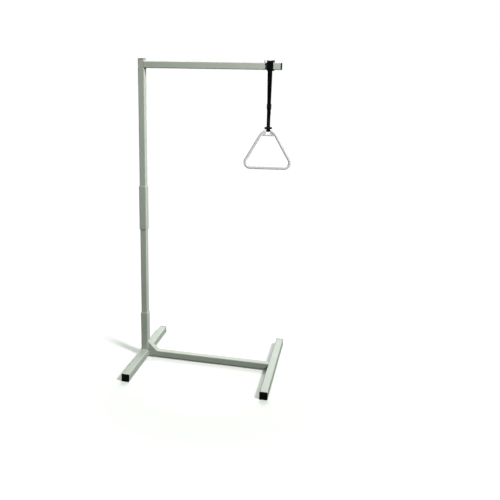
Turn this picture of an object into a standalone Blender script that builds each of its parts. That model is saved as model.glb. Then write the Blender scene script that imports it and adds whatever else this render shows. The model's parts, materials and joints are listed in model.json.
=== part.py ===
"""Free-standing over-bed lifting pole: H-shaped base, mast in two sections, arm, webbing strap and
triangular handle. Metres, +Z up. The origin is on the floor, in the middle of the object's box, which the
handle stretches a little past the base. The arm runs along +X and the front faces -Y."""

from math import cos, pi, radians, sin, sqrt

import bmesh
import bpy
from mathutils import Matrix, Vector

# Square tubes
MAST_WIDTH = 0.038  # mast, arm, spine and brace
MAST_WALL = 0.002
MAST_CORNER = 0.004
FOOT_WIDTH = 0.045  # feet, socket and sleeve
FOOT_WALL = 0.0032
FOOT_CORNER = 0.005
GAP = 0.0003  # between pieces that touch

# Base
FOOT_SPACING = 0.812
FOOT_LENGTH = 0.696  # over the end caps
CAP_FLANGE = 0.005
RIB_CLEAR = 0.0010  # the ribs' sharp corners stay clear of the tube's round ones
CAP_PROUD = 0.0008  # the foot caps stand this far proud, so the pole stands on them
SOCKET_TOP = 0.294
BRACE_LEG = 0.060

# Mast and arm
HEIGHT = 1.842
SLEEVE_BOTTOM = 0.833
SLEEVE_TOP = 1.098
ARM_Z = 1.807
ARM_REACH = 0.807  # from the mast's axis to the face of the arm's cap

# Strap, from the mast's axis along the arm
PEG_REACH = (0.713, 0.768)
PEG_RADIUS = 0.0035
PEG_HEIGHT = 0.0155
SADDLE_REACH = 0.7445
SADDLE_WIDTH = 0.036
STRAP_REACH = 0.742
WEBBING_WIDTH = 0.020
WEBBING = 0.0016  # thickness

# Handle
HANDLE_WIDTH = 0.268
HANDLE_BOTTOM = 1.236
HANDLE_THICKNESS = 0.016
HANDLE_EDGE = 0.0045  # rounding of its edges
HANDLE_TURN = radians(8)  # the handle hangs turned a little on its strap
LIMB = 0.015
GRIP_BAR = 0.017
CORNER_RADIUS = 0.039
APEX_RADIUS = 0.055
APEX_WEB = 0.0373  # solid web under the apex
WEB_CORNER = 0.008
GRIP_PITCH = 0.0165
GRIP_WAVES = 11
GRIP_DEPTH = 0.0018
EYE_BAR_RADIUS = 0.005
EYE_DEPTH = 0.0075  # of the bar's axis below the apex
NOTCH_WIDTH = 0.027
NOTCH_DEPTH = 0.026

# Clamp screws
SCREW_RADIUS = 0.0037
SCREW_HOLE = 0.0042
HEX_RADIUS = 0.0075  # 13 mm across flats
NUT_THICKNESS = 0.0065
HEAD_THICKNESS = 0.0053
SCREW_GRIP = 0.0055  # free shank between nut and head
SCREW_INSET = 0.045  # of each screw from its tube's end

# Places worked out from the values above
HANDLE_REACH = (  # half the handle's width along X as it hangs, turned and with its edges rounded
    (HANDLE_WIDTH / 2 - HANDLE_EDGE) * cos(HANDLE_TURN)
    + (HANDLE_THICKNESS / 2 - HANDLE_EDGE) * sin(HANDLE_TURN)
    + HANDLE_EDGE
)
MAST_X = -(STRAP_REACH + HANDLE_REACH - FOOT_WIDTH / 2 - CAP_PROUD) / 2  # puts the box's middle at X = 0
SPINE_X = MAST_X + FOOT_SPACING / 2
FOOT_Z = FOOT_WIDTH / 2 + CAP_PROUD
FOOT_TOP = FOOT_Z + FOOT_WIDTH / 2
SOCKET_FACE = MAST_X + FOOT_WIDTH / 2
SPLICE_Z = (SLEEVE_BOTTOM + SLEEVE_TOP) / 2
ARM_HALF = MAST_WIDTH / 2
SADDLE_X = MAST_X + SADDLE_REACH
STRAP_X = MAST_X + STRAP_REACH
ALONG_X = (0, pi / 2, 0)
ALONG_Y = (pi / 2, 0, 0)
ACROSS_X = (pi / 2, 0, pi / 2)  # outlines drawn in the YZ plane, extruded along X

# Saddle and webbing, half widths along Y and heights over the arm's centre
SADDLE_INSIDE = ARM_HALF + GAP
CHANNEL_FLOOR = 0.0225
CHANNEL_TOP = 0.0280
SADDLE_HALF = 0.0250
SADDLE_TOP = 0.0320
SADDLE_BOTTOM = -0.0245
WRAP_HALF = CHANNEL_FLOOR + GAP + WEBBING / 2
WRAP_TOP = CHANNEL_TOP + GAP + WEBBING / 2
STRAND_TOP = ARM_Z + SADDLE_BOTTOM - 0.016  # room for the strap to swing
BUCKLE = (0.026, 0.005, 0.032)
BUCKLE_Y = 0.0047
BUCKLE_Z = 1.588
SLIDE_BAR = (0.044, 0.020, 0.013)
SLIDE_BAR_Z = 1.470
LOOP_HALF = 0.0061
LOOP_JOIN = 1.501  # where the two layers of webbing come together

LIMB_LEAN = Vector((cos(radians(30)), sin(radians(30))))  # points straight out of the right limb
EYE_Z = 1.4551  # axis of the handle's bar

scene = bpy.context.scene


def clear_scene():
    for old in list(bpy.data.objects):
        bpy.data.objects.remove(old, do_unlink=True)


def new_collection(name):
    collection = bpy.data.collections.new(name)
    scene.collection.children.link(collection)
    return collection


def material(name, colour, roughness, metallic=0.0):
    made = bpy.data.materials.new(name)
    made.use_nodes = True
    made.diffuse_color = (*colour, 1)
    shader = made.node_tree.nodes["Principled BSDF"]
    shader.inputs["Base Color"].default_value = (*colour, 1)
    shader.inputs["Roughness"].default_value = roughness
    shader.inputs["Metallic"].default_value = metallic
    return made


def place(obj, finish, location, rotation=(0, 0, 0), smooth=radians(35)):
    """Gives a piece its material and its place, in the object's collection."""
    obj.location = location
    obj.rotation_euler = rotation
    obj.data.materials.append(finish)
    parts.objects.link(obj)
    if obj.type == "MESH":
        obj.data.shade_smooth()
        obj.data.set_sharp_from_angle(angle=smooth)
    return obj


def arc(centre, radius, start, end, steps=6):
    turn = [start + (end - start) * i / steps for i in range(steps + 1)]
    return [(centre[0] + radius * cos(a), centre[1] + radius * sin(a)) for a in turn]


def rounded_box(width, depth, radius, steps=4):
    """The outline of a rectangle with round corners."""
    x, y = width / 2 - radius, depth / 2 - radius
    quarter = pi / 2
    corners = [(x, y), (-x, y), (-x, -y), (x, -y)]
    return [p for i, c in enumerate(corners) for p in arc(c, radius, i * quarter, (i + 1) * quarter, steps)]


def ring(radius, sides):
    return arc((0, 0), radius, 0, 2 * pi, sides)[:-1]


def outline(name, loops, length, edge=0.0):
    """A flat outline, with any holes in it, extruded along its own Z. Its edges can be rounded."""
    curve = bpy.data.curves.new(name, "CURVE")
    curve.dimensions = "2D"
    curve.fill_mode = "BOTH"
    curve.extrude = length / 2 - edge
    curve.bevel_depth = edge
    curve.bevel_resolution = 2
    curve.offset = -edge
    holes = [loop[::-1] for loop in loops[1:]]  # clockwise, so that a rounded edge turns into the hole
    for loop in loops[:1] + holes:
        spline = curve.splines.new("POLY")
        spline.points.add(len(loop) - 1)
        for point, (x, y) in zip(spline.points, loop):
            point.co = (x, y, 0, 1)
        spline.use_cyclic_u = True
    return bpy.data.objects.new(name, curve)


def as_mesh(curve):
    """The same shape as a closed mesh, which can be cut or joined."""
    scene.collection.objects.link(curve)
    graph = bpy.context.evaluated_depsgraph_get()
    mesh = bpy.data.meshes.new_from_object(curve.evaluated_get(graph))
    name = curve.name
    bpy.data.objects.remove(curve)
    mesh.name = name
    weld = bmesh.new()
    weld.from_mesh(mesh)
    bmesh.ops.remove_doubles(weld, verts=weld.verts, dist=1e-6)
    weld.to_mesh(mesh)
    weld.free()
    return bpy.data.objects.new(name, mesh)


def tube(name, width, wall, corner, length):
    inner = width - 2 * wall
    loops = [rounded_box(width, width, corner), rounded_box(inner, inner, corner - wall)]
    return outline(name, loops, length)


def turned(name, profile, steps=24):
    """A closed profile turned about Z. The profile runs from the top of the axis down to its foot."""
    mesh = bpy.data.meshes.new(name)
    build = bmesh.new()
    chain = [build.verts.new((radius, 0, z)) for radius, z in profile]
    for upper, lower in zip(chain, chain[1:]):
        build.edges.new((upper, lower))
    build.to_mesh(mesh)
    build.free()
    obj = bpy.data.objects.new(name, mesh)
    screw = obj.modifiers.new("turn", "SCREW")
    screw.steps = screw.render_steps = steps
    screw.use_merge_vertices = True
    screw.merge_threshold = 1e-5
    screw.use_smooth_shade = steps > 4
    return obj


def primitive_box(name, size):
    build = bmesh.new()
    bmesh.ops.create_cube(build, size=1.0)
    bmesh.ops.scale(build, vec=size, verts=build.verts)
    mesh = bpy.data.meshes.new(name)
    build.to_mesh(mesh)
    build.free()
    return bpy.data.objects.new(name, mesh)


def primitive_rod(name, radius, length, sides=20):
    build = bmesh.new()
    ends = {"radius1": radius, "radius2": radius}
    bmesh.ops.create_cone(build, cap_ends=True, segments=sides, depth=length, **ends)
    mesh = bpy.data.meshes.new(name)
    build.to_mesh(mesh)
    build.free()
    return bpy.data.objects.new(name, mesh)


def combine(obj, tool, operation, location, rotation=(0, 0, 0)):
    """A Boolean with a tool that is placed in the scene and left out of the render."""
    tool.location = location
    tool.rotation_euler = rotation
    tool.hide_render = True
    tool.display_type = "WIRE"
    cutters.objects.link(tool)
    modifier = obj.modifiers.new(tool.name, "BOOLEAN")
    modifier.operation = operation
    modifier.object = tool


def end_cap(name, tube_inside, flange_width, location, rotation):
    """A square insert cap: a domed flange, and a plug with three ribs that grip the tube's inside."""
    corner = sqrt(2)  # a square turned in four steps has its corners at this times its half width
    flange = flange_width / 2 * corner
    rib = (tube_inside / 2 - RIB_CLEAR) * corner
    core = rib - 0.0012 * corner
    profile = [(0, CAP_FLANGE), (flange * 0.55, CAP_FLANGE * 0.97), (flange * 0.93, CAP_FLANGE * 0.86)]
    profile += [(flange, CAP_FLANGE * 0.66), (flange, GAP), (core, GAP)]
    for depth in (0.004, 0.009, 0.014):
        profile += [(core, -depth), (rib, -depth), (rib, -depth - 0.0016), (core, -depth - 0.0016)]
    profile += [(core, -0.018), (core * 0.85, -0.020), (0, -0.020)]
    cap = turned(name, profile, steps=4)
    frame = bpy.data.objects.new(name + "_seat", None)
    parts.objects.link(frame)
    frame.location = location
    frame.rotation_euler = rotation
    place(cap, black_plastic, (0, 0, 0), (0, 0, pi / 4))
    cap.parent = frame
    return cap


def base():
    inside = FOOT_WIDTH - 2 * FOOT_WALL
    half = FOOT_LENGTH / 2 - CAP_FLANGE
    for side, x in (("left", MAST_X), ("right", MAST_X + FOOT_SPACING)):
        foot = tube(f"{side}_foot_tube", FOOT_WIDTH, FOOT_WALL, FOOT_CORNER, 2 * half)
        place(foot, powder_coat, (x, 0, FOOT_Z), ALONG_Y)
        for end, y, turn in (("front", -half, pi / 2), ("rear", half, -pi / 2)):
            width = FOOT_WIDTH + 2 * CAP_PROUD
            end_cap(f"{side}_foot_{end}_cap", inside, width, (x, y, FOOT_Z), (turn, 0, 0))
    spine_length = FOOT_SPACING - FOOT_WIDTH - 2 * GAP
    spine = tube("spine_tube", MAST_WIDTH, MAST_WALL, MAST_CORNER, spine_length)
    place(spine, powder_coat, (SPINE_X, 0, FOOT_TOP - MAST_WIDTH / 2), ALONG_X)
    socket()
    brace()


def socket():
    """The stub on the left foot that the mast stands in, drilled at the rear for its clamp screw."""
    bottom = FOOT_TOP + GAP
    middle = (bottom + SOCKET_TOP) / 2
    stub = as_mesh(tube("mast_socket", FOOT_WIDTH, FOOT_WALL, FOOT_CORNER, SOCKET_TOP - bottom))
    place(stub, powder_coat, (MAST_X, 0, middle))
    clamp_screw("socket_weld_nut", "socket_clamp_screw", stub, SOCKET_TOP - SCREW_INSET)


def brace():
    """A short piece of tube at 45 degrees, mitred against the socket and the spine."""
    piece = as_mesh(tube("gusset_brace", MAST_WIDTH, MAST_WALL, MAST_CORNER, 3 * BRACE_LEG))
    inset = MAST_WIDTH / 2 / sqrt(2)
    middle = BRACE_LEG / 2 - inset
    place(piece, powder_coat, (SOCKET_FACE + middle, 0, FOOT_TOP + middle), (0, radians(135), 0))
    size = 2 * BRACE_LEG
    corner = primitive_box("brace_mitre", (size, size, size))
    half = size / 2 + GAP
    combine(piece, corner, "INTERSECT", (SOCKET_FACE + half, 0, FOOT_TOP + half))


def clamp_screw(nut_name, screw_name, holder, z):
    """An M8 screw in a weld nut on the holder's rear face. Its tip stops at the mast's face."""
    face = FOOT_WIDTH / 2
    hole = primitive_rod(f"{screw_name}_hole", SCREW_HOLE, 4 * FOOT_WALL)
    combine(holder, hole, "DIFFERENCE", (MAST_X, face, z), ALONG_Y)
    nut = outline(nut_name, [ring(HEX_RADIUS, 6), ring(SCREW_HOLE, 20)], NUT_THICKNESS)
    nut_y = face + GAP + NUT_THICKNESS / 2
    place(nut, zinc, (MAST_X, nut_y, z), ALONG_Y)
    tip = MAST_WIDTH / 2 + GAP
    head = face + GAP + NUT_THICKNESS + SCREW_GRIP
    shank = primitive_rod(screw_name, SCREW_RADIUS, head + HEAD_THICKNESS / 2 - tip)
    place(shank, zinc, (MAST_X, (tip + head + HEAD_THICKNESS / 2) / 2, z), ALONG_Y)
    hexagon = primitive_rod(f"{screw_name}_head", HEX_RADIUS, HEAD_THICKNESS, sides=6)
    combine(shank, hexagon, "UNION", (MAST_X, head + HEAD_THICKNESS / 2, z), ALONG_Y)


def lower_mast():
    bottom = FOOT_TOP + GAP
    mast = tube("lower_mast_tube", MAST_WIDTH, MAST_WALL, MAST_CORNER, SPLICE_Z - bottom)
    place(mast, powder_coat, (MAST_X, 0, (bottom + SPLICE_Z) / 2))
    length = SLEEVE_TOP - SLEEVE_BOTTOM
    sleeve = as_mesh(tube("coupling_sleeve", FOOT_WIDTH, FOOT_WALL, FOOT_CORNER, length))
    place(sleeve, powder_coat, (MAST_X, 0, SPLICE_Z))
    clamp_screw("sleeve_lower_nut", "sleeve_lower_screw", sleeve, SLEEVE_BOTTOM + SCREW_INSET)
    clamp_screw("sleeve_upper_nut", "sleeve_upper_screw", sleeve, SLEEVE_TOP - SCREW_INSET)


def upper_mast():
    inside = MAST_WIDTH - 2 * MAST_WALL
    bottom, top = SPLICE_Z + GAP, HEIGHT - CAP_FLANGE
    mast = tube("upper_mast_tube", MAST_WIDTH, MAST_WALL, MAST_CORNER, top - bottom)
    place(mast, powder_coat, (MAST_X, 0, (bottom + top) / 2))
    end_cap("mast_top_cap", inside, MAST_WIDTH, (MAST_X, 0, top), (0, 0, 0))
    start, end = MAST_X + ARM_HALF + GAP, MAST_X + ARM_REACH - CAP_FLANGE
    arm = tube("arm_tube", MAST_WIDTH, MAST_WALL, MAST_CORNER, end - start)
    place(arm, powder_coat, ((start + end) / 2, 0, ARM_Z), ALONG_X)
    end_cap("arm_end_cap", inside, MAST_WIDTH, (end, 0, ARM_Z), ALONG_X)
    for name, reach in zip(("inner_stop_peg", "outer_stop_peg"), PEG_REACH):
        stop_peg(name, MAST_X + reach)


def stop_peg(name, x):
    """A short round peg with a domed top, standing on the arm."""
    dome = arc((0, 0), PEG_RADIUS, pi / 2, 0)
    height = PEG_HEIGHT - PEG_RADIUS * 0.6
    profile = [(r, height + 0.6 * z) for r, z in dome] + [(PEG_RADIUS, 0), (0, 0)]
    place(turned(name, profile, steps=20), powder_coat, (x, 0, ARM_Z + ARM_HALF + GAP))


def arch(half, top, bottom, radius, steps=6):
    """The path up one side of the arm, over it and down the other, in YZ from the arm's centre."""
    left = arc((-half + radius, top - radius), radius, pi, pi / 2, steps)
    right = arc((half - radius, top - radius), radius, pi / 2, 0, steps)
    return [(-half, bottom), *left, *right, (half, bottom)]


def ribbon_loop(path, thickness):
    """A ribbon's outline: its centre line shifted to one side, and back shifted to the other."""
    sides = ([], [])
    for i, here in enumerate(path):
        before, after = Vector(path[max(i - 1, 0)]), Vector(path[min(i + 1, len(path) - 1)])
        ahead = (after - before).normalized()
        aside = Vector((-ahead.y, ahead.x)) * thickness / 2
        sides[0].append(tuple(Vector(here) + aside))
        sides[1].append(tuple(Vector(here) - aside))
    return sides[0] + sides[1][::-1]


def webbing(name, path, thickness=WEBBING, turn=0.0, x=STRAP_X):
    """A length of webbing whose centre line lies in the YZ plane, its width along X."""
    strip = outline(name, [ribbon_loop(path, thickness)], WEBBING_WIDTH)
    return place(strip, black_webbing, (x, 0, 0), (pi / 2, 0, pi / 2 + turn))


def strap_head():
    """The saddle over the arm, with a channel for the webbing that goes over it."""
    outside = arch(SADDLE_HALF, SADDLE_TOP, SADDLE_BOTTOM, 0.007)
    inside = arch(SADDLE_INSIDE, SADDLE_INSIDE, SADDLE_BOTTOM, 0.003, 3)
    saddle = as_mesh(outline("strap_saddle", [outside + inside[::-1]], SADDLE_WIDTH))
    place(saddle, black_plastic, (SADDLE_X, 0, ARM_Z), ACROSS_X)
    clear = 0.010
    floor = arch(CHANNEL_FLOOR, CHANNEL_TOP, SADDLE_BOTTOM - clear, 0.006)
    beyond = arch(SADDLE_HALF + clear, SADDLE_TOP + clear, SADDLE_BOTTOM - clear, 0.010)
    channel = as_mesh(outline("saddle_channel", [beyond + floor[::-1]], WEBBING_WIDTH + 4 * GAP))
    combine(saddle, channel, "DIFFERENCE", (STRAP_X, 0, ARM_Z), ACROSS_X)
    wrap = arch(WRAP_HALF, WRAP_TOP, SADDLE_BOTTOM, 0.0065)
    webbing("webbing_over_arm", [(y, z + ARM_Z) for y, z in wrap])


def upper_strap():
    """The two strands below the saddle, and the buckle and tail behind them."""
    buckle_top = BUCKLE_Z + BUCKLE[2] / 2 + 0.001
    webbing("front_strand", [(-WRAP_HALF, STRAND_TOP), (-0.0030, buckle_top)])
    webbing("rear_strand", [(WRAP_HALF, STRAND_TOP), (BUCKLE_Y, buckle_top)])
    width, depth, height = BUCKLE
    slot = rounded_box(WEBBING_WIDTH + 4 * GAP, 0.0075, 0.001, 3)
    slots = [[(x, y + z) for x, y in slot] for z in (-0.0065, 0.0065)]
    buckle = outline("strap_buckle", [rounded_box(width, height, 0.003), *slots], depth)
    place(buckle, black_plastic, (STRAP_X, BUCKLE_Y, BUCKLE_Z), ALONG_Y)
    behind = BUCKLE_Y + depth / 2 + GAP + WEBBING / 2
    webbing("strap_tail", [(behind, 1.596), (behind + 0.0004, 1.574), (behind + 0.0022, 1.541)])


def lower_strap():
    webbing("lower_webbing", [(0, 1.600), (0, LOOP_JOIN + GAP)], thickness=2 * WEBBING + GAP)


def handle_loop():
    """The webbing's eye under the handle's top bar, and the slide bar that both its legs go through."""
    legs = SLIDE_BAR_Z + SLIDE_BAR[2] / 2
    joined = WEBBING / 2 + GAP
    under = arc((0, EYE_Z), LOOP_HALF, pi, 2 * pi, 10)
    front = [(-joined, LOOP_JOIN), (-LOOP_HALF, legs + 0.001)]
    rear = [(-y, z) for y, z in reversed(front)]
    webbing("webbing_loop", [*front, *under, *rear], turn=HANDLE_TURN)
    width, depth, height = SLIDE_BAR
    slot = rounded_box(WEBBING_WIDTH + 4 * GAP, 0.0026, 0.0008, 3)
    slots = [[(x, y + side * LOOP_HALF) for x, y in slot] for side in (-1, 1)]
    bar = outline("slide_bar", [rounded_box(width, depth, 0.006), *slots], height)
    place(bar, black_plastic, (STRAP_X, 0, SLIDE_BAR_Z), (0, 0, HANDLE_TURN))


def touching(radius, height):
    """The centre of an arc at this height that just touches the inner side of the right limb."""
    corner = Vector((HANDLE_WIDTH / 2 - CORNER_RADIUS, CORNER_RADIUS))
    on_side = corner + LIMB_LEAN * (CORNER_RADIUS - LIMB)
    x = on_side.x - (radius + (height - on_side.y) * LIMB_LEAN.y) / LIMB_LEAN.x
    return (x, height)


def handle_height():
    """Two sides at 60 degrees join the bottom corners' arcs to the apex's arc."""
    foot_x = HANDLE_WIDTH / 2 - CORNER_RADIUS * (1 - LIMB_LEAN.x)
    foot_y = CORNER_RADIUS * (1 + LIMB_LEAN.y)
    rise = (foot_x - LIMB_LEAN.x * APEX_RADIUS) * sqrt(3)
    return foot_y + rise + (1 - LIMB_LEAN.y) * APEX_RADIUS


def mirrored(half):
    """A closed outline from its right half, which runs from the bottom to the top."""
    return half + [(-x, y) for x, y in reversed(half)]


def triangle_handle():
    """A triangular ring with a waved grip, and a solid web with a notch and a round bar at its apex."""
    tilt = radians(30)
    top = handle_height()
    lower = (HANDLE_WIDTH / 2 - CORNER_RADIUS, CORNER_RADIUS)
    outer = arc(lower, CORNER_RADIUS, -pi / 2, tilt, 9)
    outer += arc((0, top - APEX_RADIUS), APEX_RADIUS, tilt, pi / 2 - radians(4), 5)
    grip = []
    for i in range(GRIP_WAVES * 3 + 1):
        x = GRIP_PITCH * i / 6
        wave = (1 + cos(2 * pi * x / GRIP_PITCH)) / 2
        grip.append((x, GRIP_BAR + GRIP_DEPTH * wave))
    corner = CORNER_RADIUS - LIMB
    inner = grip[1:] + arc(touching(corner, GRIP_BAR + corner), corner, -pi / 2, tilt, 6)
    web = top - APEX_WEB
    inner += arc(touching(WEB_CORNER, web - WEB_CORNER), WEB_CORNER, tilt, pi / 2, 3)
    loops = [mirrored(outer), mirrored(inner)]
    eye = top - EYE_DEPTH
    loops = [[(x, y - eye) for x, y in loop] for loop in loops]
    handle = as_mesh(outline("triangle_handle", loops, HANDLE_THICKNESS, edge=HANDLE_EDGE))
    turned_y = (pi / 2, 0, HANDLE_TURN)
    place(handle, white_plastic, (STRAP_X, 0, EYE_Z), turned_y)
    height = NOTCH_DEPTH + 0.01
    notch = primitive_box("handle_notch", (NOTCH_WIDTH, height, 2 * HANDLE_THICKNESS))
    notch_z = EYE_Z + EYE_DEPTH - NOTCH_DEPTH + height / 2
    combine(handle, notch, "DIFFERENCE", (STRAP_X, 0, notch_z), turned_y)
    bar = primitive_rod("handle_eye_bar", EYE_BAR_RADIUS, NOTCH_WIDTH + 0.006, sides=24)
    combine(handle, bar, "UNION", (STRAP_X, 0, EYE_Z), (0, pi / 2, HANDLE_TURN))


def body(name, origin, parent, build):
    """Builds a moving body's pieces and hangs them on an empty on the body's joint axis."""
    before = set(parts.objects)
    build()
    frame = bpy.data.objects.new(name, None)
    frame.location = origin
    parts.objects.link(frame)
    for piece in parts.objects:
        if piece is frame or piece in before or piece.parent:
            continue
        piece.parent = frame
        piece.matrix_parent_inverse = Matrix.Translation(-Vector(origin))
    if parent:
        frame.parent = parent
        frame.matrix_parent_inverse = Matrix.Translation(-parent.location)
    return frame


clear_scene()
parts = new_collection("over_bed_lifting_pole")
cutters = new_collection("cutters")
powder_coat = material("powder_coat", (0.42, 0.45, 0.41), 0.45)
black_plastic = material("black_plastic", (0.02, 0.02, 0.02), 0.5)
black_webbing = material("black_webbing", (0.015, 0.015, 0.016), 0.85)
white_plastic = material("white_plastic", (0.8, 0.8, 0.78), 0.35)
zinc = material("zinc_plated_steel", (0.55, 0.55, 0.53), 0.3, 1.0)

base()
lower = body("lower_mast", (MAST_X, 0, FOOT_TOP), None, lower_mast)
upper = body("upper_mast", (MAST_X, 0, SPLICE_Z), lower, upper_mast)
head = body("strap_head", (SADDLE_X, 0, ARM_Z), upper, strap_head)
swing = body("upper_strap", (STRAP_X, 0, ARM_Z + SADDLE_BOTTOM), head, upper_strap)
length = body("lower_strap", (STRAP_X, 0, BUCKLE_Z), swing, lower_strap)
twist = body("handle_loop", (STRAP_X, 0, LOOP_JOIN), length, handle_loop)
body("handle", (STRAP_X, 0, EYE_Z), twist, triangle_handle)
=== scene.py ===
import json
from math import atan2, cos, pi, radians, sin, sqrt

import bpy
import numpy as np
from mathutils import Matrix, Vector


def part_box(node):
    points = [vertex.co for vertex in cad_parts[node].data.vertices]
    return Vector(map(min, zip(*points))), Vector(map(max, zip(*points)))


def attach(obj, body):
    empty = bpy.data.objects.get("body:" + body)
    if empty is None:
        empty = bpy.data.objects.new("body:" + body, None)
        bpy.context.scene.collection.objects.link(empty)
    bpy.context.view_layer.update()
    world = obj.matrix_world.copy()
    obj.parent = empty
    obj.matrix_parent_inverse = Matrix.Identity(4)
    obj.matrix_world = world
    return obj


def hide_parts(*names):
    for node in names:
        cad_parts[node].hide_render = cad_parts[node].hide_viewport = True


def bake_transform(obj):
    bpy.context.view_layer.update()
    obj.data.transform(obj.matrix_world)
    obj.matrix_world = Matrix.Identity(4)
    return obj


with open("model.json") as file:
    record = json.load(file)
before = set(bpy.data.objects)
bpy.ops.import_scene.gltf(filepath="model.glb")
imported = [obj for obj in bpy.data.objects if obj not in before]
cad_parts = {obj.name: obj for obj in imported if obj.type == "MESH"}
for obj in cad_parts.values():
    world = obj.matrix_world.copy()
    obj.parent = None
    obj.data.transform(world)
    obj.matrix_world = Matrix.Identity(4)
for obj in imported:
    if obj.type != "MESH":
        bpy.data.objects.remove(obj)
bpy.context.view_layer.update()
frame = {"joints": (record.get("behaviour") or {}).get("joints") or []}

scene = bpy.context.scene
joints = {joint["name"]: joint for joint in frame["joints"]}
tipJoint = joints["handle_tip"]
strapX, eyeZ = tipJoint["pos_m"][0], tipJoint["pos_m"][2]  # the strap's line, and the handle's bar
handleTurn = atan2(tipJoint["axis"][1], tipJoint["axis"][0])  # the handle hangs a little turned


def corners(node):
    low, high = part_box(node)
    return np.array(low), np.array(high)


def middle(node):
    low, high = corners(node)
    return (low + high) / 2


cameraSettings = {
    "place": (0.7909, -3.2656, 1.7592),
    "pan": 0.2121,  # turned left from straight ahead, radians
    "tilt": -0.2127,
    "roll": 0.0170,
    "lens": 42.156,
    "shift": (0.0457, -0.0981),
}


def makeCamera(settings):
    data = bpy.data.cameras.new("camera")
    data.lens = settings["lens"]
    data.sensor_width = 36
    data.shift_x, data.shift_y = settings["shift"]
    data.dof.use_dof = False
    camera = bpy.data.objects.new("camera", data)
    turn = Matrix.Rotation(settings["pan"], 4, "Z") @ Matrix.Rotation(pi / 2 + settings["tilt"], 4, "X")
    turn = turn @ Matrix.Rotation(settings["roll"], 4, "Z")
    camera.matrix_world = Matrix.Translation(settings["place"]) @ turn
    scene.collection.objects.link(camera)
    scene.camera = camera


warm, plain = (1, 0.985, 0.98), (1, 1, 1)
lightSettings = {  # place, aim, size, power, spread in degrees, colour
    "key": ((3.5, -1.85, 4.4), (0.3, 0.0, 1.65), 1.2, 38, 52, warm),
    "side": ((4.2, 0.35, 1.0), (0.0, 0.0, 0.9), 3.0, 30, 180, warm),
    "top": ((0.2, 0.3, 6.0), (0.0, 0.0, 0.0), 2.4, 13, 180, plain),
    "back": ((-0.3, 4.5, 4.0), (0.0, 0.0, 0.8), 4.0, 230, 180, plain),
    "left": ((-4.4, 0.4, 1.8), (0.0, 0.0, 0.9), 3.0, 20, 180, plain),
}
worldSettings = {"fill": 0.15, "fillColour": (0.66, 1.0, 0.62), "seen": 1.0}
floorSettings = {
    "radius": 60.0,
    "pale": 0.9,  # as the camera sees it
    "dim": 0.1,  # as it lights the object
    "glow": 0.08,
    "fade": (0.62, 0.95),  # where it turns into the white backdrop, from the origin
}


def makeLights(settings):
    for name, (place, aim, size, power, spread, colour) in settings.items():
        data = bpy.data.lights.new(name, "AREA")
        data.size, data.energy, data.spread, data.color = size, power, radians(spread), colour
        lamp = bpy.data.objects.new(name, data)
        lamp.location = place
        lamp.rotation_euler = (Vector(aim) - Vector(place)).to_track_quat("-Z", "Y").to_euler()
        scene.collection.objects.link(lamp)


def makeWorld(settings):
    world = bpy.data.worlds.new("studio")
    world.use_nodes = True
    scene.world = world
    tree = world.node_tree
    background = tree.nodes["Background"]
    seen = tree.nodes.new("ShaderNodeBackground")
    seen.inputs["Color"].default_value = (1, 1, 1, 1)
    seen.inputs["Strength"].default_value = settings["seen"]
    background.inputs["Color"].default_value = (*settings["fillColour"], 1)
    background.inputs["Strength"].default_value = settings["fill"]
    path = tree.nodes.new("ShaderNodeLightPath")
    mix = tree.nodes.new("ShaderNodeMixShader")
    tree.links.new(path.outputs["Is Camera Ray"], mix.inputs[0])
    tree.links.new(background.outputs[0], mix.inputs[1])
    tree.links.new(seen.outputs[0], mix.inputs[2])
    tree.links.new(mix.outputs[0], tree.nodes["World Output"].inputs[0])
    scene.view_settings.view_transform = "Standard"


def makeFloor(settings):
    angles = np.linspace(0, 2 * pi, 96, endpoint=False)
    rim = np.stack([np.cos(angles), np.sin(angles), 0 * angles], -1)
    radii = np.geomspace(0.01, settings["radius"], 24)
    points = rim[None] * radii[:, None, None]
    floor = bpy.data.objects.new("floor", meshFrom("floor", [patch(points, capFirst=True, closed=False)]))
    scene.collection.objects.link(floor)
    made = bpy.data.materials.new("paleFloor")
    made.use_nodes = True
    tree = made.node_tree
    shader = tree.nodes["Principled BSDF"]
    shader.inputs["Roughness"].default_value = 0.9
    shader.inputs["Specular IOR Level"].default_value = 0.0
    shader.inputs["Emission Color"].default_value = (1, 1, 1, 1)
    seen = tree.nodes.new("ShaderNodeLightPath").outputs["Is Camera Ray"]
    distance = tree.nodes.new("ShaderNodeVectorMath")
    distance.operation = "LENGTH"
    tree.links.new(tree.nodes.new("ShaderNodeTexCoord").outputs["Object"], distance.inputs[0])
    far = rangeNode(tree, distance.outputs["Value"], *settings["fade"])
    lit = mathNode(tree, "SUBTRACT", 1.0, far)
    pale = mathNode(tree, "MULTIPLY_ADD", seen, settings["pale"] - settings["dim"], settings["dim"])
    tree.links.new(mathNode(tree, "MULTIPLY", pale, lit), shader.inputs["Base Color"])
    glow = mathNode(tree, "MULTIPLY_ADD", far, 1.05 - settings["glow"], settings["glow"])
    tree.links.new(mathNode(tree, "MULTIPLY", glow, seen), shader.inputs["Emission Strength"])
    floor.data.materials.append(made)


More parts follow.
